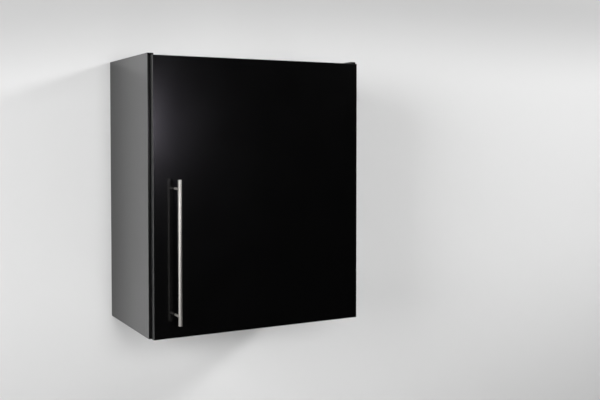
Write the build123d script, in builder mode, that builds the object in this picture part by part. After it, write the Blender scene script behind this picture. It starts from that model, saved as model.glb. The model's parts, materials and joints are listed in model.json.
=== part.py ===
from build123d import *
import os

# Wall-hung cabinet with one door. +Z is up, the door faces -Y, and the wall is the plane y = 0.
# The origin is on the wall, halfway between the two screw holes of the hanging rail. Millimetres.

# Carcass boards
carcass_width = 610.0
carcass_height = 720.0
carcass_depth = 330.0
board = 16.0
edge_band = 1.0
band_round = 0.25
top_recess = 6.0
rail_below_top = 63.0

# Back panel, held in grooves
back_thick = 4.0
back_setback = 18.0
groove_depth = 6.0
groove_play = 0.2

# Door
door_side_reveal = 7.0
door_top_reveal = 6.0
door_thick = 16.0
door_gap = 3.0
door_edge_round = 0.8

# Bar handle
bar_diameter = 10.0
bar_overhang = 23.0
bar_chamfer = 0.7
bar_standoff = 35.0
bar_inset = 57.0
post_spacing = 320.0
post_diameter = 6.0
post_seat = 3.0
lower_post_height = 60.0
handle_screw_diameter = 4.0
handle_screw_bite = 12.0

# Concealed cup hinges: one pin each, and an arm that hooks round the door's edge
hinge_from_end = 100.0
cup_diameter = 35.0
cup_from_edge = 3.0
cup_depth = 12.5
cup_floor = 1.0
cup_wall = 1.0
cup_flange = 1.2
ear_spread = 48.0
ear_setback = 5.5
ear_radius = 6.0
pivot_inset = 6.9
pivot_depth = 8.5
pivot_pin_diameter = 2.0
pivot_pin_length = 16.0
eye_radius = 2.0
arm_thick = 2.2
neck_width = 8.0
hook_reach = 11.4
hook_drop = 1.6
hook_rise = 10.0
arm_bend_radius = 2.4
tail_width = 14.0
tail_from_front = 4.0
tail_length = 55.0
plate_thick = 3.0
plate_width = 18.0
plate_length = 40.0
plate_wing_width = 14.0
plate_wing_spread = 32.0
plate_wing_end = 6.0
plate_from_front = 37.0
plate_screw_diameter = 6.0
plate_screw_length = 12.0
plate_screw_head = 10.0
plate_screw_head_height = 2.0
cup_screw_diameter = 4.0
cup_screw_length = 11.0
cup_screw_head = 7.5
cup_screw_head_height = 1.8
arm_screw_diameter = 5.0
arm_screw_head = 8.0
arm_screw_head_height = 2.2
arm_screw_spread = 20.0

# Shelves on pins in rows of holes
shelf_names = ("lower", "upper")
shelf_side_play = 1.0
shelf_front_setback = 28.0
shelf_back_play = 1.0
pin_diameter = 5.0
pin_hole_depth = 10.0
pin_insert = 9.0
pin_collar_diameter = 8.0
pin_collar_thick = 0.8
pin_reach = 9.0
pin_row_from_front = 37.0
pin_row_from_back = 37.0
row_pitch = 32.0
row_holes = 5

# Cam fittings and dowels between the boards
cam_diameter = 15.0
cam_depth = 12.5
cam_from_end = 34.0
cam_from_front = 60.0
cam_from_back = 70.0
cam_bolt_diameter = 6.0
cam_bolt_bore = 8.0
cam_bolt_thread = 5.0
cam_bolt_bite = 11.0
cam_slot_past_centre = 4.0
cam_cap_diameter = 17.0
cam_cap_thick = 1.0
dowel_diameter = 8.0
dowel_in_side = 11.0
dowel_in_board = 20.0
dowel_from_cam = 32.0

# Hangers in the top corners and the wall rail that they hook over
rail_end_clear = 4.0
rail_sheet = 1.5
rail_offset = 8.0
rail_foot_below = 14.0
rail_foot_above = 10.0
rail_lip_top = 24.0
rail_hole_diameter = 6.5
rail_hole_from_end = 35.0
hanger_width = 18.0
hanger_depth = 26.0
hanger_height = 58.0
hanger_below_top = 3.0
hanger_peg_diameter = 10.0
hanger_peg_length = 11.0
hanger_peg_spread = 32.0
hanger_corner = 2.0
hook_plate = 3.0
hook_width = 12.0
hook_tail = 16.0
hook_lip = 10.0
hook_seat = 0.2
hanger_screw_diameter = 6.0
hanger_screw_length = 5.0
hanger_screw_spread = 24.0
hanger_screw_proud = 1.0
notch_play = 2.0
cover_thick = 1.2

# Door bumpers
bumper_diameter = 7.0
bumper_from_end = 40.0
bumper_clear = 0.3

# Fits
bore_play = 0.1
slot_play = 0.3
through_play = 0.4

# Places that follow from the sizes above
side_x = carcass_width / 2
inner_x = side_x - board
top_z = rail_below_top
bottom_z = top_z - carcass_height
front_y = -carcass_depth
core_front_y = front_y + edge_band
ceiling_z = top_z - top_recess - board
floor_z = bottom_z + board
back_rear_y = -back_setback
back_front_y = back_rear_y - back_thick

door_width = carcass_width - 2 * door_side_reveal
door_height = carcass_height - door_top_reveal
door_back_y = front_y - door_gap
door_front_y = door_back_y - door_thick
door_edge_x = door_width / 2
hinge_heights = {
    "upper": bottom_z + door_height - hinge_from_end,
    "lower": bottom_z + hinge_from_end,
}
post_heights = {
    "lower": bottom_z + lower_post_height,
    "upper": bottom_z + lower_post_height + post_spacing,
}
bar_length = post_spacing + 2 * bar_overhang
bar_x = -door_edge_x + bar_inset
bar_y = door_front_y - bar_standoff
bar_mid_z = (post_heights["lower"] + post_heights["upper"]) / 2

cup_x = door_edge_x - cup_from_edge - cup_diameter / 2
ear_x = cup_x - ear_setback
pivot_x = door_edge_x - pivot_inset
pivot_y = door_back_y - pivot_depth
plate_y = front_y + plate_from_front
plate_face_x = inner_x - plate_thick
arm_face_x = plate_face_x - arm_thick
arm_screw_ys = [plate_y - arm_screw_spread / 2, plate_y + arm_screw_spread / 2]

shelf_step = (ceiling_z - floor_z - len(shelf_names) * board) / (len(shelf_names) + 1)
shelf_bottoms = {}
for index, name in enumerate(shelf_names):
    shelf_bottoms[name] = floor_z + shelf_step + index * (shelf_step + board)
shelf_front_y = front_y + shelf_front_setback
shelf_back_y = back_front_y - shelf_back_play
pin_ys = [front_y + pin_row_from_front, back_front_y - pin_row_from_back]
pin_drop = pin_diameter / 2
cam_x = inner_x - cam_from_end
cam_ys = [front_y + cam_from_front, -cam_from_back]
dowel_ys = [cam_ys[0] + dowel_from_cam, cam_ys[1] - dowel_from_cam]
board_mids = [ceiling_z + board / 2, floor_z - board / 2]

rail_length = 2 * (inner_x - rail_end_clear)
rail_hole_x = rail_length / 2 - rail_hole_from_end
hanger_top_z = ceiling_z - hanger_below_top
hanger_mid_z = hanger_top_z - hanger_height / 2
hanger_x = inner_x - hanger_width / 2
hanger_front_y = back_front_y - hanger_depth
hook_bottom_z = rail_lip_top + hook_seat
lip_front_y = -rail_offset - rail_sheet
lip_rear_y = -rail_offset
hook_tip_y = lip_rear_y + hook_seat + hook_plate

# Faces that holes are drilled into, each with its normal out of the material
left_inner = Plane(origin=(-inner_x, 0, 0), x_dir=(0, 1, 0), z_dir=(1, 0, 0))
right_inner = Plane(origin=(inner_x, 0, 0), x_dir=(0, -1, 0), z_dir=(-1, 0, 0))
door_inner = Plane(origin=(0, door_back_y, 0), x_dir=(-1, 0, 0), z_dir=(0, 1, 0))
from_end = (Align.CENTER, Align.CENTER, Align.MIN)


def save(piece, name):
    piece.part.label = name
    export_step(piece.part, f"parts/{name}.step")


def slab(low, high, mode=Mode.ADD):
    size = [b - a for a, b in zip(low, high)]
    middle = tuple((a + b) / 2 for a, b in zip(low, high))
    with Locations(middle):
        Box(*size, mode=mode)


def drill(face, points, diameter, depth):
    with Locations(face):
        with Locations(*points):
            Hole(diameter / 2, depth)


def rod_x(points, diameter, length, mode=Mode.ADD):
    # Rods that start at the points and run towards +X
    with Locations(*points):
        Cylinder(diameter / 2, length, rotation=(0, 90, 0), align=from_end, mode=mode)


def rod_y(points, diameter, length, mode=Mode.ADD):
    # Rods that start at the points and run towards -Y
    with Locations(*points):
        Cylinder(diameter / 2, length, rotation=(90, 0, 0), align=from_end, mode=mode)


def rod_z(points, diameter, length, mode=Mode.ADD):
    # Rods that are centred on the points and stand along Z
    with Locations(*points):
        Cylinder(diameter / 2, length, mode=mode)


def pin_row_heights():
    # A short run of holes above and below each shelf's own hole
    heights = []
    for shelf_bottom in shelf_bottoms.values():
        for step in range(row_holes):
            heights.append(shelf_bottom - pin_drop + (step - row_holes // 2) * row_pitch)
    return heights


os.makedirs("parts", exist_ok=True)

# Side boards
hanger_peg_y = back_front_y - hanger_depth / 2
row_points = [(y, z) for y in pin_ys for z in pin_row_heights()]
bolt_points = [(y, z) for y in cam_ys for z in board_mids]
dowel_points = [(y, z) for y in dowel_ys for z in board_mids]
peg_points = [(hanger_peg_y, hanger_mid_z + side * hanger_peg_spread / 2) for side in (-1, 1)]
with BuildPart() as left_side_panel:
    slab((-side_x, core_front_y, bottom_z), (-inner_x, 0, top_z))
    slab(
        (-inner_x - groove_depth, back_front_y - groove_play, bottom_z),
        (-inner_x, back_rear_y + groove_play, top_z - top_recess),
        mode=Mode.SUBTRACT,
    )
    drill(left_inner, row_points, pin_diameter + 2 * bore_play, pin_hole_depth)
    drill(left_inner, bolt_points, cam_bolt_thread + 2 * bore_play, cam_bolt_bite)
    drill(left_inner, dowel_points, dowel_diameter + 2 * bore_play, dowel_in_side)
    drill(left_inner, peg_points, hanger_peg_diameter + 2 * bore_play, hanger_peg_length)
save(left_side_panel, "left_side_panel")

plate_screw_points = []
for height in hinge_heights.values():
    plate_screw_points.append((plate_y, height - plate_wing_spread / 2))
    plate_screw_points.append((plate_y, height + plate_wing_spread / 2))
plate_screw_bite = plate_screw_length - plate_thick
with BuildPart() as right_side_panel:
    mirror(left_side_panel.part, about=Plane.YZ)
    mirrored_points = [(-y, z) for y, z in plate_screw_points]
    drill(right_inner, mirrored_points, plate_screw_diameter + 2 * bore_play, plate_screw_bite)
save(right_side_panel, "right_side_panel")

# Top and bottom boards between the sides, each with a groove, cam pockets and end bores
for name, low_z, groove_low in (
    ("top_panel", ceiling_z, ceiling_z),
    ("bottom_panel", bottom_z, floor_z - groove_depth),
):
    mid = low_z + board / 2
    cam_mid = low_z + board - cam_depth / 2
    with BuildPart() as board_piece:
        slab((-inner_x, core_front_y, low_z), (inner_x, 0, low_z + board))
        slab(
            (-inner_x, back_front_y - groove_play, groove_low),
            (inner_x, back_rear_y + groove_play, groove_low + groove_depth),
            mode=Mode.SUBTRACT,
        )
        cam_places = [(x, y, cam_mid) for x in (-cam_x, cam_x) for y in cam_ys]
        rod_z(cam_places, cam_diameter + 2 * bore_play, cam_depth, mode=Mode.SUBTRACT)
        for x in (-inner_x, cam_x):
            rod_x([(x, y, mid) for y in cam_ys], cam_bolt_bore, cam_from_end, mode=Mode.SUBTRACT)
        for x in (-inner_x, inner_x - dowel_in_board):
            end_points = [(x, y, mid) for y in dowel_ys]
            rod_x(end_points, dowel_diameter + 2 * bore_play, dowel_in_board, mode=Mode.SUBTRACT)
    save(board_piece, name)

# Back panel in the grooves, with notches in its top corners for the hooks
back_edge_x = inner_x + groove_depth - groove_play
notch_low_z = hook_bottom_z - hook_lip - notch_play
notch_inner_x = hanger_x - hook_width / 2 - notch_play
with BuildPart() as back_panel:
    slab(
        (-back_edge_x, back_front_y, floor_z - groove_depth + groove_play),
        (back_edge_x, back_rear_y, ceiling_z + groove_depth - groove_play),
    )
    for x in (-notch_inner_x - hook_width - 2 * notch_play, notch_inner_x):
        slab(
            (x, back_front_y, notch_low_z),
            (x + hook_width + 2 * notch_play, back_rear_y, hook_bottom_z + hook_plate + notch_play),
            mode=Mode.SUBTRACT,
        )
save(back_panel, "back_panel")

# Front edge bands of the carcass
for name, low, high in (
    ("left_front_band", (-side_x, bottom_z), (-inner_x, top_z)),
    ("right_front_band", (inner_x, bottom_z), (side_x, top_z)),
    ("top_front_band", (-inner_x, ceiling_z), (inner_x, ceiling_z + board)),
    ("bottom_front_band", (-inner_x, bottom_z), (inner_x, floor_z)),
):
    with BuildPart() as band:
        slab((low[0], front_y, low[1]), (high[0], core_front_y, high[1]))
        long_axis = Axis.Z if name in ("left_front_band", "right_front_band") else Axis.X
        fillet(band.faces().sort_by(Axis.Y)[0].edges().filter_by(long_axis), band_round)
    save(band, name)

# Shelves with banded front edges, resting on pins
shelf_half = inner_x - shelf_side_play
for name, shelf_bottom in shelf_bottoms.items():
    with BuildPart() as shelf:
        slab(
            (-shelf_half, shelf_front_y + edge_band, shelf_bottom),
            (shelf_half, shelf_back_y, shelf_bottom + board),
        )
    save(shelf, f"{name}_shelf")

with BuildPart() as shelf_bands:
    for shelf_bottom in shelf_bottoms.values():
        slab(
            (-shelf_half, shelf_front_y, shelf_bottom),
            (shelf_half, shelf_front_y + edge_band, shelf_bottom + board),
        )
    front_faces = shelf_bands.faces().filter_by(Plane.XZ).group_by(Axis.Y)[0]
    fillet(front_faces.edges().filter_by(Axis.X), band_round)
save(shelf_bands, "shelf_bands")

pin_points = [(y, shelf_bottom - pin_drop) for y in pin_ys for shelf_bottom in shelf_bottoms.values()]
with BuildPart() as shelf_pins:
    rod_x([(inner_x, y, z) for y, z in pin_points], pin_diameter, pin_insert)
    collar_points = [(inner_x - pin_collar_thick, y, z) for y, z in pin_points]
    rod_x(collar_points, pin_collar_diameter, pin_collar_thick)
    rod_x([(inner_x - pin_reach, y, z) for y, z in pin_points], pin_diameter, pin_reach)
    mirror(about=Plane.YZ)
save(shelf_pins, "shelf_pins")

# Cam fittings: housings in the boards, bolts in the sides, caps over the pockets
cam_points = [(cam_x, y, z) for y in cam_ys for z in (ceiling_z + board, floor_z)]
with BuildPart() as cam_housings:
    rod_z([(x, y, z - cam_depth / 2) for x, y, z in cam_points], cam_diameter, cam_depth)
    slot_start = cam_x - cam_slot_past_centre
    rod_x([(slot_start, y, z) for y, z in bolt_points], cam_bolt_bore, cam_diameter, mode=Mode.SUBTRACT)
    mirror(about=Plane.YZ)
save(cam_housings, "cam_housings")

bolt_head_end = cam_x - cam_slot_past_centre + slot_play
bolt_neck = cam_x + cam_slot_past_centre / 2
with BuildPart() as cam_bolts:
    rod_x([(inner_x, y, z) for y, z in bolt_points], cam_bolt_thread, cam_bolt_bite)
    rod_x([(bolt_neck, y, z) for y, z in bolt_points], cam_bolt_diameter, inner_x - bolt_neck)
    head_points = [(bolt_head_end, y, z) for y, z in bolt_points]
    rod_x(head_points, cam_bolt_bore - 2 * bore_play, bolt_neck - bolt_head_end)
    mirror(about=Plane.YZ)
save(cam_bolts, "cam_bolts")

with BuildPart() as cam_caps:
    rod_z([(x, y, z + cam_cap_thick / 2) for x, y, z in cam_points], cam_cap_diameter, cam_cap_thick)
    mirror(about=Plane.YZ)
    for cap in cam_caps.solids():
        chamfer(cap.faces().sort_by(Axis.Z)[-1].edges(), cam_cap_thick / 2)
save(cam_caps, "cam_caps")

with BuildPart() as wood_dowels:
    dowel_starts = [(inner_x - dowel_in_board, y, z) for y, z in dowel_points]
    rod_x(dowel_starts, dowel_diameter, dowel_in_board + dowel_in_side)
    mirror(about=Plane.YZ)
save(wood_dowels, "wood_dowels")

# Wall rail: a foot on the wall with the screw holes, and a lip that stands off it
with BuildPart() as wall_rail:
    with BuildSketch(Plane.YZ.offset(-rail_length / 2)):
        with BuildLine():
            Polyline(
                (0, -rail_foot_below),
                (0, rail_foot_above),
                (lip_rear_y, rail_foot_above),
                (lip_rear_y, rail_lip_top),
                (lip_front_y, rail_lip_top),
                (lip_front_y, rail_foot_above - rail_sheet),
                (-rail_sheet, rail_foot_above - rail_sheet),
                (-rail_sheet, -rail_foot_below),
                close=True,
            )
        make_face()
    extrude(amount=rail_length)
    rail_holes = [(-rail_hole_x, 0, 0), (rail_hole_x, 0, 0)]
    rod_y(rail_holes, rail_hole_diameter, rail_sheet, mode=Mode.SUBTRACT)
save(wall_rail, "wall_rail")

# Hangers: a moulded body pegged to the side, a steel hook through it, screws and a snap-on cover
hook_tail_y = back_front_y - hook_tail
hanger_screw_zs = [hanger_mid_z - hanger_screw_spread / 2, hanger_mid_z + hanger_screw_spread / 2]
with BuildPart() as right_hanger_body:
    slab(
        (inner_x - hanger_width, hanger_front_y, hanger_mid_z - hanger_height / 2),
        (inner_x, back_front_y, hanger_top_z),
    )
    fillet(right_hanger_body.faces().sort_by(Axis.X)[0].edges(), hanger_corner)
    slab(
        (hanger_x - hook_width / 2 - slot_play, hook_tail_y - slot_play, hook_bottom_z - slot_play),
        (hanger_x + hook_width / 2 + slot_play, back_front_y, hook_bottom_z + hook_plate + slot_play),
        mode=Mode.SUBTRACT,
    )
    rod_y([(hanger_x, hanger_front_y + hanger_screw_length, z) for z in hanger_screw_zs],
          hanger_screw_diameter + 2 * bore_play, hanger_screw_length, mode=Mode.SUBTRACT)
    rod_x([(inner_x, y, z) for y, z in peg_points], hanger_peg_diameter, hanger_peg_length)
save(right_hanger_body, "right_hanger_body")

with BuildPart() as left_hanger_body:
    mirror(right_hanger_body.part, about=Plane.YZ)
save(left_hanger_body, "left_hanger_body")

with BuildPart() as hanger_hooks:
    with BuildSketch(Plane.YZ.offset(hanger_x - hook_width / 2)):
        with BuildLine():
            Polyline(
                (hook_tail_y, hook_bottom_z),
                (lip_rear_y + hook_seat, hook_bottom_z),
                (lip_rear_y + hook_seat, hook_bottom_z - hook_lip),
                (hook_tip_y, hook_bottom_z - hook_lip),
                (hook_tip_y, hook_bottom_z + hook_plate),
                (hook_tail_y, hook_bottom_z + hook_plate),
                close=True,
            )
        make_face()
    extrude(amount=hook_width)
    mirror(about=Plane.YZ)
save(hanger_hooks, "hanger_hooks")

with BuildPart() as hanger_screws:
    rod_y([(hanger_x, hanger_front_y + hanger_screw_length, z) for z in hanger_screw_zs],
          hanger_screw_diameter, hanger_screw_length + hanger_screw_proud)
    mirror(about=Plane.YZ)
save(hanger_screws, "hanger_screws")

cover_front_y = hanger_front_y - hanger_screw_proud - slot_play - cover_thick
with BuildPart() as hanger_covers:
    slab(
        (inner_x - hanger_width - slot_play - cover_thick, cover_front_y, hanger_mid_z - hanger_height / 2),
        (inner_x, back_front_y, hanger_top_z),
    )
    slab(
        (inner_x - hanger_width - slot_play, cover_front_y + cover_thick, hanger_mid_z - hanger_height / 2),
        (inner_x, back_front_y, hanger_top_z),
        mode=Mode.SUBTRACT,
    )
    fillet(hanger_covers.edges().filter_by(Axis.Z).sort_by(Axis.Y)[0:2].sort_by(Axis.X)[0:1], hanger_corner)
    mirror(about=Plane.YZ)
save(hanger_covers, "hanger_covers")

# Door board with its cup bores, screw holes and banded edges
core_edge_x = door_edge_x - edge_band
core_low_z = bottom_z + edge_band
core_high_z = bottom_z + door_height - edge_band
ear_points = []
for height in hinge_heights.values():
    ear_points.append((ear_x, height - ear_spread / 2))
    ear_points.append((ear_x, height + ear_spread / 2))
cup_screw_bite = cup_screw_length - cup_flange
with BuildPart() as door_panel:
    slab((-core_edge_x, door_front_y, core_low_z), (core_edge_x, door_back_y, core_high_z))
    cup_points = [(-cup_x, z) for z in hinge_heights.values()]
    post_points = [(-bar_x, z) for z in post_heights.values()]
    drill(door_inner, cup_points, cup_diameter + 2 * bore_play, cup_depth)
    drill(door_inner, [(-x, z) for x, z in ear_points], cup_screw_diameter + 2 * bore_play, cup_screw_bite)
    drill(door_inner, post_points, handle_screw_diameter + through_play, door_thick)
save(door_panel, "door_panel")

for name, low, high in (
    ("door_left_band", (-door_edge_x, bottom_z), (-core_edge_x, bottom_z + door_height)),
    ("door_right_band", (core_edge_x, bottom_z), (door_edge_x, bottom_z + door_height)),
    ("door_top_band", (-core_edge_x, core_high_z), (core_edge_x, core_high_z + edge_band)),
    ("door_bottom_band", (-core_edge_x, bottom_z), (core_edge_x, core_low_z)),
):
    upright = name in ("door_left_band", "door_right_band")
    out_axis = Axis.X if upright else Axis.Z
    outer = -1 if name in ("door_right_band", "door_top_band") else 0
    with BuildPart() as door_band:
        slab((low[0], door_front_y, low[1]), (high[0], door_back_y, high[1]))
        outer_face = door_band.faces().sort_by(out_axis)[outer]
        fillet(outer_face.edges().filter_by(Axis.Z if upright else Axis.X), door_edge_round)
    save(door_band, name)

# Bar handle: a round bar on two posts, each held by a screw from inside the door
with BuildPart() as handle_bar:
    rod_z([(bar_x, bar_y, bar_mid_z)], bar_diameter, bar_length)
    chamfer(handle_bar.faces().filter_by(Plane.XY).edges(), bar_chamfer)
    post_length = bar_standoff - bar_diameter / 2 + post_seat
    rod_y([(bar_x, door_front_y, z) for z in post_heights.values()],
          post_diameter + 2 * bore_play, post_length + bore_play, mode=Mode.SUBTRACT)
save(handle_bar, "handle_bar")

for name, height in post_heights.items():
    with BuildPart() as handle_post:
        rod_y([(bar_x, door_front_y, height)], post_diameter, post_length)
        rod_y([(bar_x, door_front_y, height)], handle_screw_diameter + 2 * bore_play,
              handle_screw_bite + through_play, mode=Mode.SUBTRACT)
    save(handle_post, f"{name}_handle_post")

screw_head_diameter = 2 * handle_screw_diameter
screw_head_height = handle_screw_diameter / 2
with BuildPart() as handle_screws:
    rod_y([(bar_x, door_back_y, z) for z in post_heights.values()],
          handle_screw_diameter, door_thick + handle_screw_bite)
    rod_y([(bar_x, door_back_y + screw_head_height, z) for z in post_heights.values()],
          screw_head_diameter, screw_head_height)
    fillet(handle_screws.faces().filter_by(Plane.XZ).group_by(Axis.Y)[-1].edges(), screw_head_height / 2)
save(handle_screws, "handle_screws")

# Hinges. In a hinge's plane, s runs from the door's edge into the door
# and t runs from the door's inner face into the cabinet.
pocket_half = neck_width / 2 + slot_play
pocket_radius = cup_diameter / 2 - cup_wall
arm_s = door_edge_x - plate_face_x + arm_thick / 2
tail_start_t = door_gap + tail_from_front
hook_s = pivot_inset + hook_reach
hook_low_t = -pivot_depth - hook_drop
hook_high_t = hook_low_t + hook_rise
arm_screw_radius = arm_screw_diameter / 2 + bore_play

for name, height in hinge_heights.items():
    level = Plane(origin=(door_edge_x, door_back_y, height), x_dir=(-1, 0, 0), z_dir=(0, 0, -1))
    mouth = Plane(origin=(cup_x, door_back_y, height), x_dir=(-1, 0, 0), z_dir=(0, 1, 0))
    plate_face = Plane(origin=(inner_x, plate_y, height), x_dir=(0, -1, 0), z_dir=(-1, 0, 0))
    screw_ends = [(0, -plate_wing_spread / 2), (0, plate_wing_spread / 2)]
    arm_screw_places = [(plate_y - y, 0) for y in arm_screw_ys]
    ears = [(ear_setback, -ear_spread / 2), (ear_setback, ear_spread / 2)]

    with BuildPart() as hinge_cup:
        with BuildSketch(mouth):
            Circle(cup_diameter / 2)
        extrude(amount=-cup_depth)
        with BuildSketch(mouth):
            with Locations(*ears):
                Circle(ear_radius)
            Circle(cup_diameter / 2)
            make_hull()
            with Locations((-cup_diameter / 2, 0)):
                Rectangle(cup_diameter, ear_spread + 2 * ear_radius, align=(Align.MAX, Align.CENTER),
                          mode=Mode.SUBTRACT)
            with Locations((pivot_inset - cup_from_edge - cup_diameter / 2, 0)):
                Rectangle(cup_diameter, ear_spread, align=(Align.MAX, Align.CENTER), mode=Mode.SUBTRACT)
        extrude(amount=cup_flange)
        with BuildSketch(mouth.offset(cup_flange)):
            Circle(pocket_radius)
            Rectangle(cup_diameter, 2 * pocket_half, mode=Mode.INTERSECT)
        extrude(amount=-cup_flange - cup_depth + cup_floor, mode=Mode.SUBTRACT)
        pin_bore = pivot_pin_diameter + 2 * bore_play
        rod_z([(pivot_x, pivot_y, height)], pin_bore, pivot_pin_length, mode=Mode.SUBTRACT)
        drill(mouth.offset(cup_flange), ears, cup_screw_diameter + 2 * bore_play, cup_flange)
    save(hinge_cup, f"{name}_hinge_cup")

    with BuildPart() as hinge_arm:
        with BuildSketch(level):
            with BuildLine():
                FilletPolyline(
                    (pivot_inset, -pivot_depth),
                    (hook_s, hook_low_t),
                    (hook_s, hook_high_t),
                    (arm_s, tail_start_t),
                    (arm_s, tail_start_t + tail_from_front),
                    radius=arm_bend_radius,
                )
                offset(amount=arm_thick / 2, side=Side.BOTH)
            make_face()
            with Locations((pivot_inset, -pivot_depth)):
                Circle(eye_radius)
                Circle(pivot_pin_diameter / 2 + bore_play, mode=Mode.SUBTRACT)
        extrude(amount=neck_width / 2, both=True)
        with BuildSketch(Plane(origin=(plate_face_x, 0, height), x_dir=(0, -1, 0), z_dir=(-1, 0, 0))):
            with Locations((-(door_back_y + tail_start_t), 0)):
                Rectangle(tail_length, tail_width, align=(Align.MAX, Align.CENTER))
            fillet(vertices().group_by(Axis.X)[0], tail_width / 4)
        extrude(amount=arm_thick)
        drill(plate_face.offset(plate_thick + arm_thick), arm_screw_places, 2 * arm_screw_radius, arm_thick)
    save(hinge_arm, f"{name}_hinge_arm")

    with BuildPart() as hinge_plate:
        with BuildSketch(plate_face):
            Rectangle(plate_length, plate_width)
            Rectangle(plate_wing_width, plate_wing_spread + 2 * plate_wing_end)
            fillet(vertices(), plate_wing_end / 2)
        extrude(amount=plate_thick)
        drill(plate_face.offset(plate_thick), screw_ends, plate_screw_diameter + 2 * bore_play, plate_thick)
        drill(plate_face.offset(plate_thick), arm_screw_places, 2 * arm_screw_radius, plate_thick)
    save(hinge_plate, f"{name}_hinge_plate")

with BuildPart() as hinge_pins:
    rod_z([(pivot_x, pivot_y, z) for z in hinge_heights.values()], pivot_pin_diameter, pivot_pin_length)
save(hinge_pins, "hinge_pins")

with BuildPart() as cup_screws:
    ear_face_y = door_back_y + cup_flange
    head_face_y = ear_face_y + cup_screw_head_height
    rod_y([(x, ear_face_y, z) for x, z in ear_points], cup_screw_diameter, cup_screw_length)
    rod_y([(x, head_face_y, z) for x, z in ear_points], cup_screw_head, cup_screw_head_height)
    fillet(cup_screws.faces().filter_by(Plane.XZ).group_by(Axis.Y)[-1].edges(), cup_screw_head_height / 2)
save(cup_screws, "cup_screws")

with BuildPart() as plate_screws:
    rod_x([(plate_face_x, y, z) for y, z in plate_screw_points], plate_screw_diameter, plate_screw_length)
    rod_x([(plate_face_x - plate_screw_head_height, y, z) for y, z in plate_screw_points],
          plate_screw_head, plate_screw_head_height)
    plate_heads = plate_screws.faces().filter_by(Plane.YZ).group_by(Axis.X)[0]
    fillet(plate_heads.edges(), plate_screw_head_height / 2)
save(plate_screws, "plate_screws")

with BuildPart() as arm_screws:
    arm_screw_points = [(y, z) for y in arm_screw_ys for z in hinge_heights.values()]
    rod_x([(arm_face_x, y, z) for y, z in arm_screw_points], arm_screw_diameter, arm_thick + plate_thick)
    rod_x([(arm_face_x - arm_screw_head_height, y, z) for y, z in arm_screw_points],
          arm_screw_head, arm_screw_head_height)
    fillet(arm_screws.faces().filter_by(Plane.YZ).group_by(Axis.X)[0].edges(), arm_screw_head_height / 2)
save(arm_screws, "arm_screws")

# Soft bumpers on the door, which meet the front edge of the left side
bumper_x = -door_edge_x + bumper_diameter / 2 + edge_band
bumper_zs = [bottom_z + bumper_from_end, bottom_z + door_height - bumper_from_end]
bumper_thick = door_gap - bumper_clear
with BuildPart() as door_bumpers:
    rod_y([(bumper_x, door_back_y + bumper_thick, z) for z in bumper_zs], bumper_diameter, bumper_thick)
    fillet(door_bumpers.faces().filter_by(Plane.XZ).group_by(Axis.Y)[-1].edges(), bumper_thick / 3)
save(door_bumpers, "door_bumpers")
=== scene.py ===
import bpy
import json
import math
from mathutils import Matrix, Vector


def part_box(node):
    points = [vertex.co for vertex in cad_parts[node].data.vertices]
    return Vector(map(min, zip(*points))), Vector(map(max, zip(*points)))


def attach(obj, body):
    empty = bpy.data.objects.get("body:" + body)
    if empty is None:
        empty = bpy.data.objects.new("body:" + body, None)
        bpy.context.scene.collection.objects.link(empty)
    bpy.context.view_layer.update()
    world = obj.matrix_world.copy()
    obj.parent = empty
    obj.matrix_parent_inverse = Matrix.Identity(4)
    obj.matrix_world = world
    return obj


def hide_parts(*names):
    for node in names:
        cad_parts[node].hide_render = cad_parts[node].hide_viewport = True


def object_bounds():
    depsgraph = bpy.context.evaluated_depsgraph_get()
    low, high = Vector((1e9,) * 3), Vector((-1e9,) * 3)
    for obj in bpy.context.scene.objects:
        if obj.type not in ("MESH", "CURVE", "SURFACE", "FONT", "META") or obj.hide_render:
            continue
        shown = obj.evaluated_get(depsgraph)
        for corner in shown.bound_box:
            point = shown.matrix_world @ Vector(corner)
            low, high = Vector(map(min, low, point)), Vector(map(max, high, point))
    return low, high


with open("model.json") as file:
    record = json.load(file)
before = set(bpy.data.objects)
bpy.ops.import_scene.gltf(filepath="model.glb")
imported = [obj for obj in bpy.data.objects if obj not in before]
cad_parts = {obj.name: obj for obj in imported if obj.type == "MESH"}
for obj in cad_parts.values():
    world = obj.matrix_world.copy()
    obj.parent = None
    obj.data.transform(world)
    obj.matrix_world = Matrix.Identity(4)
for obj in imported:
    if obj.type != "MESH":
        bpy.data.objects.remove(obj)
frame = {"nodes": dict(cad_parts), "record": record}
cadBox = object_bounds()
nodes = frame["nodes"]
scene = bpy.context.scene
scene.view_settings.view_transform = "Standard"
bodies = frame["record"]["behaviour"]["bodies"]
bodyOf = {node: body for body, members in bodies.items() for node in members}
slotOf = {part["node"]: part["material_slot"] for part in frame["record"]["subparts"]}
print("frame loaded:", len(nodes), "nodes")


def clearSelection():
    bpy.ops.object.select_all(action="DESELECT")


def longAxis(node):
    low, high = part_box(node)
    sizes = list(high - low)
    return sizes.index(max(sizes))


# Camera, as the photograph was taken: a little to the left, nearly level, frame shifted down

cameraSettings = {
    "place": (-0.9986, -2.4234, -0.1446),
    "turnDegrees": 28.272,
    "lookDownDegrees": 1.858,
    "sensorWidth": 36.0,
    "lens": 52.104,
    "shiftUp": -0.06,
    "sightEnd": 200.0,
}


def addCamera(settings):
    bpy.ops.object.camera_add(location=settings["place"])
    camera = bpy.context.object
    tilt = math.radians(90 - settings["lookDownDegrees"])
    camera.rotation_euler = (tilt, 0, -math.radians(settings["turnDegrees"]))
    camera.data.sensor_width = settings["sensorWidth"]
    camera.data.lens = settings["lens"]
    camera.data.shift_y = settings["shiftUp"]
    camera.data.clip_end = settings["sightEnd"]
    scene.camera = camera
    print("camera set")


# Shader maths: a wire is a socket that takes part in sums, a finish is one material

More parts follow.
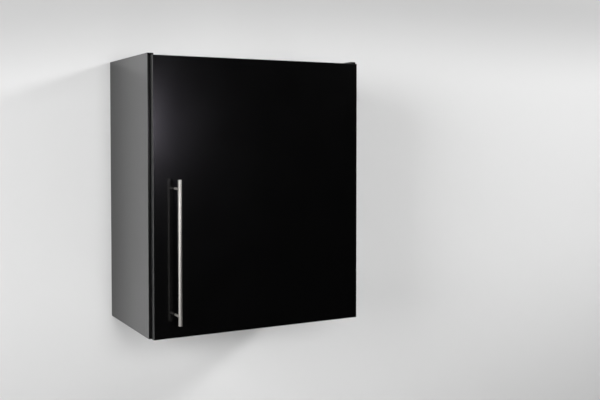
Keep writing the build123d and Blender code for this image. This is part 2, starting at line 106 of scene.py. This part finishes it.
class Wire:
    def __init__(self, finish, socket):
        self.finish = finish
        self.socket = socket

    def sum(self, operation, first, second):
        return self.finish.node("ShaderNodeMath", {"operation": operation}, {0: first, 1: second})

    def __add__(self, other):
        return self.sum("ADD", self, other)

    def __radd__(self, other):
        return self.sum("ADD", other, self)

    def __sub__(self, other):
        return self.sum("SUBTRACT", self, other)

    def __rsub__(self, other):
        return self.sum("SUBTRACT", other, self)

    def __mul__(self, other):
        return self.sum("MULTIPLY", self, other)

    def __rmul__(self, other):
        return self.sum("MULTIPLY", other, self)

    def __gt__(self, other):
        return self.sum("GREATER_THAN", self, other)

    def __lt__(self, other):
        return self.sum("LESS_THAN", self, other)

    def __abs__(self):
        return self.sum("ABSOLUTE", self, 0)

    def larger(self, other):
        return self.sum("MAXIMUM", self, other)

    def sine(self):
        return self.sum("SINE", self, 0)

    def around(self, level, spread):
        return level + (self - 0.5) * spread  # a pattern runs from 0 to 1, so 0.5 is its middle


class Finish:
    def __init__(self, name, owner=None):
        self.owner = owner or bpy.data.materials.new(name)
        self.owner.use_nodes = True
        self.tree = self.owner.node_tree
        self.shader = self.tree.nodes.get("Principled BSDF")

    def node(self, kind, settings=None, sockets=None, out=0):
        made = self.tree.nodes.new(kind)
        for key, value in (settings or {}).items():
            setattr(made, key, value)
        for key, value in (sockets or {}).items():
            self.feed(made.inputs[key], value)
        return Wire(self, made.outputs[out])

    def feed(self, socket, value):
        if isinstance(value, Wire):
            self.tree.links.new(value.socket, socket)
        else:
            socket.default_value = value

    def surface(self, sockets):
        for key, value in sockets.items():
            self.feed(self.shader.inputs[key], value)

    def place(self):
        return self.node("ShaderNodeTexCoord", out="Object")

    def axes(self, place):
        split = self.node("ShaderNodeSeparateXYZ", {}, {0: place}).socket.node
        return [Wire(self, socket) for socket in split.outputs]

    def noise(self, place, scale, detail=2.0, roughness=0.5):
        sockets = {"Vector": place, "Scale": scale, "Detail": detail, "Roughness": roughness}
        return self.node("ShaderNodeTexNoise", {}, sockets)

    def streaks(self, place, scales, detail, roughness=0.5):
        stretched = self.node("ShaderNodeMapping", {}, {"Vector": place, "Scale": scales})
        return self.noise(stretched, 1.0, detail, roughness)

    def blend(self, factor, first, second):
        sockets = {"Factor": factor, 6: first, 7: second}
        return self.node("ShaderNodeMix", {"data_type": "RGBA"}, sockets, out=2)

    def flakes(self, place, scale):
        cells = self.node("ShaderNodeTexVoronoi", {}, {"Vector": place, "Scale": scale}, out="Color")
        return self.node("ShaderNodeSeparateColor", {}, {0: cells})

    def fade(self, value, start, end):
        sockets = {"Value": value, "From Min": start, "From Max": end}
        return self.node("ShaderNodeMapRange", {"interpolation_type": "SMOOTHSTEP"}, sockets)

    def awayFade(self, place, ends):
        away = self.node("ShaderNodeVectorMath", {"operation": "LENGTH"}, {0: place}, out="Value")
        return self.fade(away, *ends)

    def ray(self, kind):
        return self.node("ShaderNodeLightPath", out=kind)

    def bump(self, height, distance):
        return self.node("ShaderNodeBump", {}, {"Height": height, "Distance": distance, "Strength": 1.0})

    def seeThrough(self, factor):
        paint = Wire(self, self.shader.outputs[0])
        clear = self.node("ShaderNodeBsdfTransparent")
        mixed = self.node("ShaderNodeMixShader", {}, {0: factor, 1: paint, 2: clear})
        self.feed(self.tree.nodes["Material Output"].inputs["Surface"], mixed)


# Stage: a pale wall that the cabinet hangs on, with painted shade towards its top and bottom, and a pale
# floor below

stageSettings = {
    "wallColour": (0.80, 0.80, 0.80, 1),
    # painted shade: the wall's colour dims to this towards its top, more on the left, and towards its
    # bottom
    "wallDim": (0.55, 0.55, 0.55, 1),
    "wallFade": (1.8, 3.2),
    "wallTopShadeFade": (0.02, 0.36),
    "wallLean": 0.22,
    "wallBottomShadeFade": (-0.5, -1.6),
    # painted reflection and painted shade: the wall's colour in mirrors, and next to the cabinet's sides
    "mirrorPaintedLight": (1.06, 1.06, 1.06, 1),
    "mirrorPaintedShade": (0.55, 0.55, 0.55, 1),
    "mirrorShadeReach": 0.115,
    "wallRoughness": 0.85,
    "wallSheen": 0.0,
    "wallGrain": 260.0,
    "wallGrainHeight": 0.0001,
    "wallWidth": 9.0,
    "wallTop": 2.6,
    "wallBehind": 0.0008,
    "floorColour": (0.66, 0.66, 0.66, 1),
    "floorRoughness": 0.8,
    "floorGrain": 60.0,
    "floorGrainHeight": 0.0001,
    "floorHeight": -1.95,
    "floorRadius": 6.0,
    "floorSides": 96,
    "floorFade": (1.2, 3.6),
    "airColour": (0.66, 0.66, 0.66, 1),
    "roomLight": 0.006,
    "mirrorFade": (-0.1, 0.3),
}


def wallFinish(settings):
    finish = Finish("paintedWall")
    place = finish.place()
    grain = finish.noise(place, settings["wallGrain"], detail=3.0)
    x, _, height = finish.axes(place)
    # painted shade: the paint darkens upwards, more on the left, and downwards
    left = (0 - x).larger(0)
    above = finish.fade(height + left * settings["wallLean"], *settings["wallTopShadeFade"])
    below = finish.fade(height, *settings["wallBottomShadeFade"])
    paint = finish.blend(above.larger(below), settings["wallColour"], settings["wallDim"])
    # painted light in mirrors: brighter wall, darker next to the cabinet, which paints shade on its sides
    side = cadBox[1][0]
    corner = finish.fade(abs(x), side + settings["mirrorShadeReach"], side)
    mirrored = finish.blend(corner, settings["mirrorPaintedLight"], settings["mirrorPaintedShade"])
    finish.surface({
        "Base Color": finish.blend(finish.ray("Is Glossy Ray"), paint, mirrored),
        "Roughness": settings["wallRoughness"],
        "Specular IOR Level": settings["wallSheen"],
        "Normal": finish.bump(grain, settings["wallGrainHeight"]),
    })
    # clear from behind, for the lamp that lights the cabinet's back, and far away
    behind = finish.node("ShaderNodeNewGeometry", out="Backfacing").larger(finish.ray("Is Shadow Ray"))
    finish.seeThrough(behind.larger(finish.awayFade(place, settings["wallFade"])))
    return finish.owner


def floorFinish(settings):
    finish = Finish("paleFloor")
    place = finish.place()
    grain = finish.noise(place, settings["floorGrain"], detail=3.0)
    finish.surface({
        "Base Color": settings["floorColour"],
        "Roughness": settings["floorRoughness"],
        "Normal": finish.bump(grain, settings["floorGrainHeight"]),
    })
    finish.seeThrough(finish.awayFade(place, settings["floorFade"]))
    return finish.owner


def addStage(settings):
    clearSelection()
    height = settings["wallTop"] - settings["floorHeight"]
    wallMiddle = (settings["wallTop"] + settings["floorHeight"]) / 2
    bpy.ops.mesh.primitive_plane_add(size=1, location=(0, settings["wallBehind"], wallMiddle),
                                     rotation=(math.pi / 2, 0, 0))
    wall = bpy.context.object
    wall.name = "wall"
    wall.scale = (settings["wallWidth"], height, 1)
    bpy.ops.object.transform_apply(location=True, rotation=True, scale=True)
    wall.data.materials.append(wallFinish(settings))

    clearSelection()
    bpy.ops.mesh.primitive_circle_add(vertices=settings["floorSides"], radius=settings["floorRadius"],
                                      fill_type="NGON", location=(0, 0, settings["floorHeight"]))
    floor = bpy.context.object
    floor.name = "floor"
    floor.data.materials.append(floorFinish(settings))


# Room: pale to the eye, through clear things and in mirrors that face the wall side, dark in front

def addRoom(settings):
    world = bpy.data.worlds.new("room")
    scene.world = world
    room = Finish("room", world)
    background = room.tree.nodes["Background"]
    direction = room.node("ShaderNodeTexCoord", out="Generated")
    wallSide = room.fade(room.axes(direction)[1], *settings["mirrorFade"])
    mirrored = room.ray("Is Glossy Ray") * wallSide
    seen = room.ray("Is Camera Ray").larger(room.ray("Is Transmission Ray")).larger(mirrored)
    dim = settings["roomLight"] / settings["airColour"][0]
    room.feed(background.inputs["Color"], settings["airColour"])
    room.feed(background.inputs["Strength"], seen * (1 - dim) + dim)
    print("stage and room set")


# Studio light: washes for matt things, cards that show only in shiny ones, a box behind for the back

washLamps = {
    "leftWash": {"place": (-3.8, -2.45, 0.5), "aim": (0, 0, -0.3), "size": (2.0, 2.0), "power": 138.0},
    "frontWash": {"place": (-0.45, -3.2, 0.1), "aim": (0, 0, -0.3), "size": (1.1, 0.9), "power": 42.0},
    "rightWash": {"place": (3.1, -2.35, 1.2), "aim": (0.4, 0, -0.2), "size": (0.6, 0.6), "power": 73.0},
}
mirrorLamps = {
    "sideCard": {"place": (-2.4, -2.2, -0.5), "aim": (0, 0, -0.4), "size": (1.6, 2.8), "power": 67.0},
    "frontCard": {"place": (-0.35, -3.2, -0.1), "aim": (0, 0, -0.3), "size": (0.7, 0.7), "power": 25.0},
    "sheenCard": {"place": (0.42, -3.2, -0.08), "aim": (-0.1, 0, -0.2), "size": (0.3, 0.3), "power": 3.2},
    "rightCard": {"place": (2.7, -1.8, 1.0), "aim": (0.4, 0, -0.2), "size": (1.2, 1.2), "power": 50.0},
    "topCard": {"place": (0, -1.4, 1.9), "aim": (0, 0, -0.4), "size": (1.4, 1.4), "power": 8.0},
}
backLamps = {
    "backBox": {"place": (1.1, 2.4, 1.5), "aim": (0, 0, -0.3), "size": (1.5, 1.5), "power": 60.0},
}
lampTints = {"sheenCard": (0.91, 0.84, 1.0)}
white = (1, 1, 1)


def addLamps(settings, onMatt=True, onShiny=True):
    for name, lamp in settings.items():
        bpy.ops.object.light_add(type="AREA", location=lamp["place"])
        made = bpy.context.object
        made.name = name
        made.data.shape = "RECTANGLE"
        made.data.size, made.data.size_y = lamp["size"]
        made.data.energy = lamp["power"]
        made.data.color = lampTints.get(name, white)
        aim = Vector(lamp["aim"]) - Vector(lamp["place"])
        made.rotation_euler = aim.to_track_quat("-Z", "Y").to_euler()
        made.visible_camera = False
        made.visible_diffuse = onMatt
        made.visible_glossy = onShiny
    print("lamps set:", len(settings))


# Boards: satin black laminate on both faces, chipboard where a hole or a rear edge is cut

boardSettings = {
    "black": (0.0035, 0.0035, 0.0037, 1),
    "ior": 1.5,
    "roughness": 0.2,
    "pearlScale": 1400.0,
    "pearlHeight": 0.000003,
    "cloudScale": 9.0,
    "cloudRoughness": 0.06,
    "chipPale": (0.50, 0.35, 0.20, 1),
    "chipDark": (0.22, 0.135, 0.07, 1),
    "chipScale": 420.0,
    "chipHeight": 0.00015,
    "chipRoughness": 0.85,
    "dustScale": 3200.0,
    "dustShare": 0.3,
    "skin": 0.0004,
}
# painted light: the same laminate gets a lighter black in the carcass than on the door, so the shaded
# inside shows
doorSettings = {**boardSettings, "black": (0.0009, 0.0009, 0.00095, 1), "roughness": 0.17}


def boardFinish(node, settings):
    low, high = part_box(node)
    sizes = high - low
    thin = list(sizes).index(min(sizes))
    finish = Finish(node + "Board")
    place = finish.place()
    axes = finish.axes(place)
    skin = settings["skin"]
    core = abs(axes[thin] - (low[thin] + high[thin]) / 2) < sizes[thin] / 2 - skin
    if thin == 0:  # the sides' tops and bottoms are banded too
        core = core * (axes[2] < high[2] - skin) * (axes[2] > low[2] + skin)
    pearl = finish.noise(place, settings["pearlScale"])
    cloud = finish.noise(place, settings["cloudScale"], detail=3.0)
    satin = cloud.around(settings["roughness"], settings["cloudRoughness"])
    chips = finish.flakes(place, settings["chipScale"])
    dust = finish.noise(place, settings["dustScale"])
    speckle = chips * (1 - settings["dustShare"]) + dust * settings["dustShare"]
    chipColour = finish.blend(speckle, settings["chipDark"], settings["chipPale"])
    pearlShare = settings["pearlHeight"] / settings["chipHeight"]
    height = core * chips + (1 - core) * pearl * pearlShare
    finish.surface({
        "Base Color": finish.blend(core, settings["black"], chipColour),
        "Roughness": satin + core * (settings["chipRoughness"] - satin),
        "IOR": settings["ior"],
        "Normal": finish.bump(height, settings["chipHeight"]),
    })
    return finish.owner


# Edge bands: black too, with fine streaks drawn out lengthwise

bandSettings = {
    "black": (0.0018, 0.0018, 0.0019, 1),
    "roughness": 0.13,
    "streakRoughness": 0.06,
    "streakAcross": 1800.0,
    "streakAlong": 25.0,
    "streakHeight": 0.000002,
}
# door bands: a greyer black, partly the band itself and partly a painted highlight on the door's edges
doorBandSettings = {**bandSettings, "black": (0.02, 0.02, 0.02, 1), "roughness": 0.34}


def bandFinish(node, settings):
    finish = Finish(node + "Band")
    scale = [settings["streakAcross"]] * 3
    scale[longAxis(node)] = settings["streakAlong"]
    streak = finish.streaks(finish.place(), scale, detail=3.0)
    finish.surface({
        "Base Color": settings["black"],
        "Roughness": streak.around(settings["roughness"], settings["streakRoughness"]),
        "Normal": finish.bump(streak, settings["streakHeight"]),
    })
    return finish.owner


# Hardboard back: black lacquer towards the inside, bare pressed fibre with its screen mark behind

hardboardSettings = {
    "lacquer": (0.0035, 0.0035, 0.0037, 1),
    "lacquerRoughness": 0.32,
    "peelScale": 240.0,
    "peelHeight": 0.00001,
    "peelRoughness": 0.06,
    "fibrePale": (0.30, 0.185, 0.095, 1),
    "fibreDark": (0.15, 0.085, 0.042, 1),
    "fibreScale": (700.0, 700.0, 190.0),
    "fibreRoughness": 0.82,
    "blotchScale": 14.0,
    "blotchShare": 0.3,
    "screenPitch": 0.0022,
    "screenHeight": 0.00012,
    "screenShare": 0.35,
    "skin": 0.0004,
}


def hardboardFinish(node, settings):
    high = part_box(node)[1]
    finish = Finish("hardboard")
    place = finish.place()
    x, y, z = finish.axes(place)
    bare = y > high[1] - settings["skin"]
    fibre = finish.streaks(place, settings["fibreScale"], detail=4.0, roughness=0.65)
    blotch = finish.noise(place, settings["blotchScale"], detail=3.0)
    wires = 2 * math.pi / settings["screenPitch"]
    screen = (x * wires).sine() * (z * wires).sine()
    peel = finish.noise(place, settings["peelScale"])
    shade = fibre * (1 - settings["blotchShare"]) + blotch * settings["blotchShare"]
    brown = finish.blend(shade, settings["fibreDark"], settings["fibrePale"])
    peelShare = settings["peelHeight"] / settings["screenHeight"]
    height = bare * (screen * settings["screenShare"] + fibre) + (1 - bare) * peel * peelShare
    gloss = peel.around(settings["lacquerRoughness"], settings["peelRoughness"])
    finish.surface({
        "Base Color": finish.blend(bare, settings["lacquer"], brown),
        "Roughness": gloss + bare * (settings["fibreRoughness"] - gloss),
        "Normal": finish.bump(height, settings["screenHeight"]),
    })
    return finish.owner


# Handle steel: satin, with fine turning marks round each rod, and paler posts as a painted highlight

steelSettings = {
    "pale": (0.45, 0.432, 0.41, 1),
    "dark": (0.36, 0.347, 0.329, 1),
    "roughness": 0.42,
    "markRoughness": 0.14,
    "markAlong": 5200.0,
    "markRound": 45.0,
    "markHeight": 0.000002,
}
# painted highlight: the posts get a paler, rougher copy of the bar's steel to stand in for the light they
# catch
postSteelWithPaintedHighlight = {
    **steelSettings,
    "pale": (0.8, 0.77, 0.73, 1),
    "dark": (0.66, 0.64, 0.61, 1),
    "roughness": 0.58,
}


def steelFinish(node, settings):
    finish = Finish(node + "Steel")
    scale = [settings["markRound"]] * 3
    scale[longAxis(node)] = settings["markAlong"]
    marks = finish.streaks(finish.place(), scale, detail=4.0, roughness=0.6)
    finish.surface({
        "Base Color": finish.blend(marks, settings["dark"], settings["pale"]),
        "Roughness": marks.around(settings["roughness"], settings["markRoughness"]),
        "Metallic": 1.0,
        "Normal": finish.bump(marks, settings["markHeight"]),
    })
    return finish.owner


# Plated hardware: nickel with a faint mottle, zinc with its spangle

platingSettings = {
    "nickel": {
        "pale": (0.66, 0.63, 0.58, 1),
        "dark": (0.55, 0.53, 0.49, 1),
        "roughness": 0.24,
        "mottleRoughness": 0.14,
        "mottleScale": 160.0,
        "spangleShare": 0.0,
        "grainScale": 1500.0,
        "grainHeight": 0.000004,
    },
    "zinc": {
        "pale": (0.66, 0.68, 0.71, 1),
        "dark": (0.50, 0.52, 0.56, 1),
        "roughness": 0.36,
        "mottleRoughness": 0.16,
        "mottleScale": 210.0,
        "spangleShare": 0.6,
        "grainScale": 1100.0,
        "grainHeight": 0.000006,
    },
}


def platingFinish(name, settings):
    finish = Finish(name + "Plating")
    place = finish.place()
    cloud = finish.noise(place, settings["mottleScale"], detail=4.0, roughness=0.6)
    crystals = finish.flakes(place, settings["mottleScale"])
    mottle = cloud * (1 - settings["spangleShare"]) + crystals * settings["spangleShare"]
    grain = finish.noise(place, settings["grainScale"])
    finish.surface({
        "Base Color": finish.blend(mottle, settings["dark"], settings["pale"]),
        "Roughness": mottle.around(settings["roughness"], settings["mottleRoughness"]),
        "Metallic": 1.0,
        "Normal": finish.bump(grain, settings["grainHeight"]),
    })
    return finish.owner


# Mouldings: fine eroded grain from the tool

mouldingSettings = {
    "grey_moulding": {
        "pale": (0.36, 0.36, 0.37, 1),
        "dark": (0.30, 0.30, 0.31, 1),
        "roughness": 0.48,
    },
    "black_moulding": {
        "pale": (0.012, 0.012, 0.0125, 1),
        "dark": (0.007, 0.007, 0.0073, 1),
        "roughness": 0.42,
    },
}
grainSettings = {"scale": 2600.0, "height": 0.00001, "cloudScale": 70.0, "roughness": 0.12}


def mouldingFinish(name, settings, grain):
    finish = Finish(name)
    place = finish.place()
    erosion = finish.noise(place, grain["scale"], detail=3.0)
    cloud = finish.noise(place, grain["cloudScale"], detail=3.0)
    finish.surface({
        "Base Color": finish.blend(cloud, settings["dark"], settings["pale"]),
        "Roughness": erosion.around(settings["roughness"], grain["roughness"]),
        "Normal": finish.bump(erosion, grain["height"]),
    })
    return finish.owner


# Beech dowels: grain along each dowel

beechSettings = {
    "pale": (0.60, 0.42, 0.25, 1),
    "dark": (0.42, 0.27, 0.14, 1),
    "grainScale": (60.0, 1300.0, 1300.0),
    "roughness": 0.6,
    "grainRoughness": 0.2,
    "grainHeight": 0.00003,
}


def beechFinish(settings):
    finish = Finish("beech")
    grain = finish.streaks(finish.place(), settings["grainScale"], detail=4.0, roughness=0.6)
    finish.surface({
        "Base Color": finish.blend(grain, settings["dark"], settings["pale"]),
        "Roughness": grain.around(settings["roughness"], settings["grainRoughness"]),
        "Normal": finish.bump(grain, settings["grainHeight"]),
    })
    return finish.owner


# Bumpers: cloudy clear silicone

siliconeSettings = {
    "pale": (0.86, 0.87, 0.86, 1),
    "dark": (0.74, 0.75, 0.75, 1),
    "cloudScale": 700.0,
    "cloudRoughness": 0.15,
    "roughness": 0.3,
    "transmission": 0.75,
    "ior": 1.41,
}


def siliconeFinish(settings):
    finish = Finish("silicone")
    cloud = finish.noise(finish.place(), settings["cloudScale"], detail=3.0)
    finish.surface({
        "Base Color": finish.blend(cloud, settings["dark"], settings["pale"]),
        "Roughness": cloud.around(settings["roughness"], settings["cloudRoughness"]),
        "Transmission Weight": settings["transmission"],
        "IOR": settings["ior"],
    })
    return finish.owner


# Finishes by node: boards, bands and rods follow their own long or thin way, the rest share one per slot

sharedFinishes = {}


def finishOf(node):
    slot = slotOf[node]
    if slot == "black_laminate":
        return boardFinish(node, doorSettings if node == "door_panel" else boardSettings)
    if slot == "black_band":
        return bandFinish(node, doorBandSettings if bodyOf[node] == "door" else bandSettings)
    if slot == "satin_steel":
        return steelFinish(node, steelSettings if node == "handle_bar" else postSteelWithPaintedHighlight)
    if slot not in sharedFinishes:
        if slot == "black_hardboard":
            made = hardboardFinish(node, hardboardSettings)
        elif slot in platingSettings:
            made = platingFinish(slot, platingSettings[slot])
        elif slot in mouldingSettings:
            made = mouldingFinish(slot, mouldingSettings[slot], grainSettings)
        elif slot == "beech":
            made = beechFinish(beechSettings)
        else:
            made = siliconeFinish(siliconeSettings)
        sharedFinishes[slot] = made
    return sharedFinishes[slot]


def dress(piece, material):
    piece.data.materials.clear()
    piece.data.materials.append(material)


def dressNodes():
    for name, node in nodes.items():
        dress(node, finishOf(name))
    print("nodes dressed:", len(nodes))


# Modelling: what every new piece starts and ends with

endFacing = 0.9  # a face whose normal points this much along the axis is an end
flatFacing = 0.99  # and with this much it is the flat middle inside a bevelled rim


def applyPlace(piece, name):
    piece.name = name
    piece.data.name = name
    bpy.ops.object.transform_apply(location=True, rotation=True, scale=True)
    return piece


def addRod(name, radius, length, place, sides, turn=(0, 0, 0)):
    clearSelection()
    bpy.ops.mesh.primitive_cylinder_add(vertices=sides, radius=radius, depth=length,
                                        location=place, rotation=turn)
    return applyPlace(bpy.context.object, name)


def editFaces(piece, wanted):
    bpy.ops.object.mode_set(mode="EDIT")
    bpy.ops.mesh.select_mode(type="FACE")
    bpy.ops.mesh.select_all(action="DESELECT")
    bpy.ops.object.mode_set(mode="OBJECT")
    for face in piece.data.polygons:
        face.select = wanted(face)
    bpy.ops.object.mode_set(mode="EDIT")


def extrude(way):
    bpy.ops.mesh.extrude_region_move(TRANSFORM_OT_translate={"value": way})


def endEdit(smoothDegrees=35):
    bpy.ops.object.mode_set(mode="OBJECT")
    bpy.ops.object.shade_smooth_by_angle(angle=math.radians(smoothDegrees))


def activate(piece):
    clearSelection()
    piece.select_set(True)
    bpy.context.view_layer.objects.active = piece


def applyModifier(piece, kind, settings):
    activate(piece)
    modifier = piece.modifiers.new(kind, kind)
    for key, value in settings.items():
        setattr(modifier, key, value)
    bpy.ops.object.modifier_apply(modifier=modifier.name)


def cutAway(piece, cutter):
    applyModifier(piece, "BOOLEAN", {"operation": "DIFFERENCE", "solver": "EXACT", "object": cutter})
    bpy.data.objects.remove(cutter)


def copiesAt(model, name, places, turn):
    copies = []
    for place in places:
        activate(model)
        bpy.ops.object.duplicate()
        copy = bpy.context.object
        copy.location = place
        copy.rotation_euler = turn
        copies.append(applyPlace(copy, name))
    clearSelection()
    for copy in copies:
        copy.select_set(True)
    bpy.context.view_layer.objects.active = copies[0]
    bpy.ops.object.join()
    bpy.data.objects.remove(model)
    copies[0].name = name
    return copies[0]


def settle(piece, node):
    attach(piece, bodyOf[node])
    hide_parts(node)
    dress(piece, nodes[node].data.materials[0])


# Bar handle: a turned bar with dished ends, bored for its two posts

handleSettings = {
    "barSides": 72,
    "rim": 0.0007,
    "rimSteps": 3,
    "dishEdge": 0.0009,
    "dishDepth": 0.00025,
    "postSides": 40,
    "socketPlay": 0.0001,
    "screwBore": 0.0021,
    "screwBoreDepth": 0.0125,
    "postRim": 0.00025,
    "postRimSteps": 2,
}
handlePosts = {"lowerHandlePost": "lower_handle_post", "upperHandlePost": "upper_handle_post"}
rodAlongY = (math.pi / 2, 0, 0)


def modelHandleBar(settings):
    low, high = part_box("handle_bar")
    radius = (high.x - low.x) / 2
    bar = addRod("handleBar", radius, high.z - low.z, (low + high) / 2, settings["barSides"])
    editFaces(bar, lambda face: abs(face.normal.z) > endFacing)
    bpy.ops.mesh.bevel(offset=settings["rim"], segments=settings["rimSteps"], affect="EDGES")
    editFaces(bar, lambda face: abs(face.normal.z) > flatFacing)
    bpy.ops.mesh.inset(thickness=settings["dishEdge"], use_individual=True)
    bpy.ops.mesh.inset(thickness=settings["dishEdge"], depth=-settings["dishDepth"], use_individual=True)
    endEdit()
    for node in handlePosts.values():
        postLow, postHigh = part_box(node)
        postRadius = (postHigh.x - postLow.x) / 2 + settings["socketPlay"]
        middle = (postLow + postHigh) / 2
        length = postHigh.y - postLow.y + 2 * settings["socketPlay"]
        cutter = addRod("socket", postRadius, length, middle, settings["postSides"], rodAlongY)
        cutAway(bar, cutter)
    settle(bar, "handle_bar")


def modelHandlePosts(settings):
    for name, node in handlePosts.items():
        low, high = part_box(node)
        radius = (high.x - low.x) / 2
        post = addRod(name, radius, high.y - low.y, (low + high) / 2, settings["postSides"], rodAlongY)
        editFaces(post, lambda face: abs(face.normal.y) > endFacing)
        bpy.ops.mesh.bevel(offset=settings["postRim"], segments=settings["postRimSteps"], affect="EDGES")
        editFaces(post, lambda face: face.normal.y > flatFacing)
        bpy.ops.mesh.inset(thickness=radius - settings["postRim"] - settings["screwBore"])
        extrude((0, -settings["screwBoreDepth"], 0))
        endEdit()
        settle(post, node)
    print("handle modelled")


# Screws: pan heads with a cross recess, tapered tips

screwSettings = {
    "cupScrews": {
        "node": "cup_screws",
        "head": 0.0075, "headHeight": 0.0018, "shank": 0.0035, "tip": 0.003,
    },
    "handleScrews": {
        "node": "handle_screws",
        "head": 0.008, "headHeight": 0.002, "shank": 0.004, "tip": 0.0006,
    },
    "plateScrews": {
        "node": "plate_screws",
        "head": 0.010, "headHeight": 0.002, "shank": 0.006, "tip": 0.003,
    },
    "armScrews": {
        "node": "arm_screws",
        "head": 0.008, "headHeight": 0.0022, "shank": 0.005, "tip": 0.0006,
    },
}
recessSettings = {"wing": 0.56, "blade": 0.13, "depth": 0.6, "taper": 0.45}
screwShape = {"sides": 32, "headSteps": 4, "tipShare": 0.3}


def crossRecess(screw, settings):
    wing = settings["head"] * recessSettings["wing"]
    blade = settings["head"] * recessSettings["blade"]
    depth = settings["headHeight"] * recessSettings["depth"]
    taper = recessSettings["taper"]
    for turn in (0, math.pi / 2):
        clearSelection()
        bpy.ops.mesh.primitive_cube_add(size=1, rotation=(0, 0, turn))
        cutter = bpy.context.object
        cutter.scale = (wing, blade, 2 * depth)
        applyPlace(cutter, "recess")
        editFaces(cutter, lambda face: face.normal.z < -endFacing)
        bpy.ops.transform.resize(value=(taper, taper, 1))
        bpy.ops.object.mode_set(mode="OBJECT")
        cutAway(screw, cutter)


def modelScrew(settings, length):
    head = settings["head"] / 2
    shank = settings["shank"] / 2
    rise = settings["headHeight"]
    screw = addRod("screw", head, rise, (0, 0, -rise / 2), screwShape["sides"])
    editFaces(screw, lambda face: face.normal.z > endFacing)
    bpy.ops.mesh.bevel(offset=rise / 2, segments=screwShape["headSteps"], affect="EDGES")
    editFaces(screw, lambda face: face.normal.z < -endFacing)
    bpy.ops.mesh.inset(thickness=head - shank)
    extrude((0, 0, -(length - rise - settings["tip"])))
    extrude((0, 0, -settings["tip"]))
    bpy.ops.transform.resize(value=(screwShape["tipShare"], screwShape["tipShare"], 1))
    endEdit()
    crossRecess(screw, settings)
    activate(screw)
    endEdit()
    return screw


def hingeHeights():
    heights = []
    for node in ("upper_hinge_cup", "lower_hinge_cup"):
        low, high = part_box(node)
        heights.append((low.z + high.z) / 2)
    return heights


def screwPlaces(name, settings):
    low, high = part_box(settings["node"])
    middle = (low + high) / 2
    head = settings["head"] / 2
    top = hingeHeights()[0]
    if name == "cupScrews":
        spread = high.z - head - top
        return [(middle.x, high.y, z + side * spread) for z in hingeHeights() for side in (-1, 1)]
    if name == "handleScrews":
        return [(middle.x, high.y, z) for z in (low.z + head, high.z - head)]
    if name == "plateScrews":
        spread = high.z - head - top
        return [(low.x, middle.y, z + side * spread) for z in hingeHeights() for side in (-1, 1)]
    return [(low.x, y, z) for z in hingeHeights() for y in (low.y + head, high.y - head)]


def modelScrews():
    facingIn = {"door": (-math.pi / 2, 0, 0), "carcass": (0, -math.pi / 2, 0)}
    for name, settings in screwSettings.items():
        low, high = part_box(settings["node"])
        body = bodyOf[settings["node"]]
        length = high.y - low.y if body == "door" else high.x - low.x
        screw = modelScrew(settings, length)
        screws = copiesAt(screw, name, screwPlaces(name, settings), facingIn[body])
        settle(screws, settings["node"])
    print("screws modelled")


# Door bumpers: soft domes

bumperSettings = {"sides": 40, "dome": 0.0021, "domeSteps": 8}


def modelBumpers(settings):
    low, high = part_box("door_bumpers")
    radius = (high.x - low.x) / 2
    rise = high.y - low.y
    dome = addRod("bumper", radius, rise, (0, 0, -rise / 2), settings["sides"])
    editFaces(dome, lambda face: face.normal.z > endFacing)
    bpy.ops.mesh.bevel(offset=settings["dome"], segments=settings["domeSteps"], affect="EDGES")
    endEdit()
    places = [((low.x + high.x) / 2, high.y, z) for z in (low.z + radius, high.z - radius)]
    bumpers = copiesAt(dome, "doorBumpers", places, (-math.pi / 2, 0, 0))
    settle(bumpers, "door_bumpers")
    print("bumpers modelled")


# Pressed and moulded hardware: the solid's form with its edges eased

easedSettings = {
    "upper_hinge_cup": 0.00025, "lower_hinge_cup": 0.00025,
    "upper_hinge_arm": 0.0003, "lower_hinge_arm": 0.0003,
    "upper_hinge_plate": 0.0004, "lower_hinge_plate": 0.0004,
    "hanger_covers": 0.0003, "hanger_hooks": 0.0004, "wall_rail": 0.0003,
}
easing = {"steps": 2, "sharpDegrees": 40, "flatDegrees": 0.6, "mergeDistance": 0.000001}


def easeEdges(node, width):
    words = node.split("_")
    name = words[0] + "".join(word.capitalize() for word in words[1:])
    piece = bpy.data.objects.new(name, nodes[node].data.copy())
    scene.collection.objects.link(piece)
    activate(piece)
    bpy.ops.object.mode_set(mode="EDIT")
    bpy.ops.mesh.select_all(action="SELECT")
    bpy.ops.mesh.remove_doubles(threshold=easing["mergeDistance"])
    bpy.ops.mesh.dissolve_limited(angle_limit=math.radians(easing["flatDegrees"]))
    bpy.ops.object.mode_set(mode="OBJECT")
    applyModifier(piece, "BEVEL", {
        "width": width,
        "segments": easing["steps"],
        "limit_method": "ANGLE",
        "angle_limit": math.radians(easing["sharpDegrees"]),
    })
    endEdit(easing["sharpDegrees"])
    settle(piece, node)


def easeHardware(settings):
    for node, width in settings.items():
        easeEdges(node, width)
    print("hardware eased:", len(settings))


addCamera(cameraSettings)
addStage(stageSettings)
addRoom(stageSettings)
addLamps(washLamps, onShiny=False)
addLamps(mirrorLamps, onMatt=False)
addLamps(backLamps)
dressNodes()
modelHandleBar(handleSettings)
modelHandlePosts(handleSettings)
modelScrews()
modelBumpers(bumperSettings)
easeHardware(easedSettings)
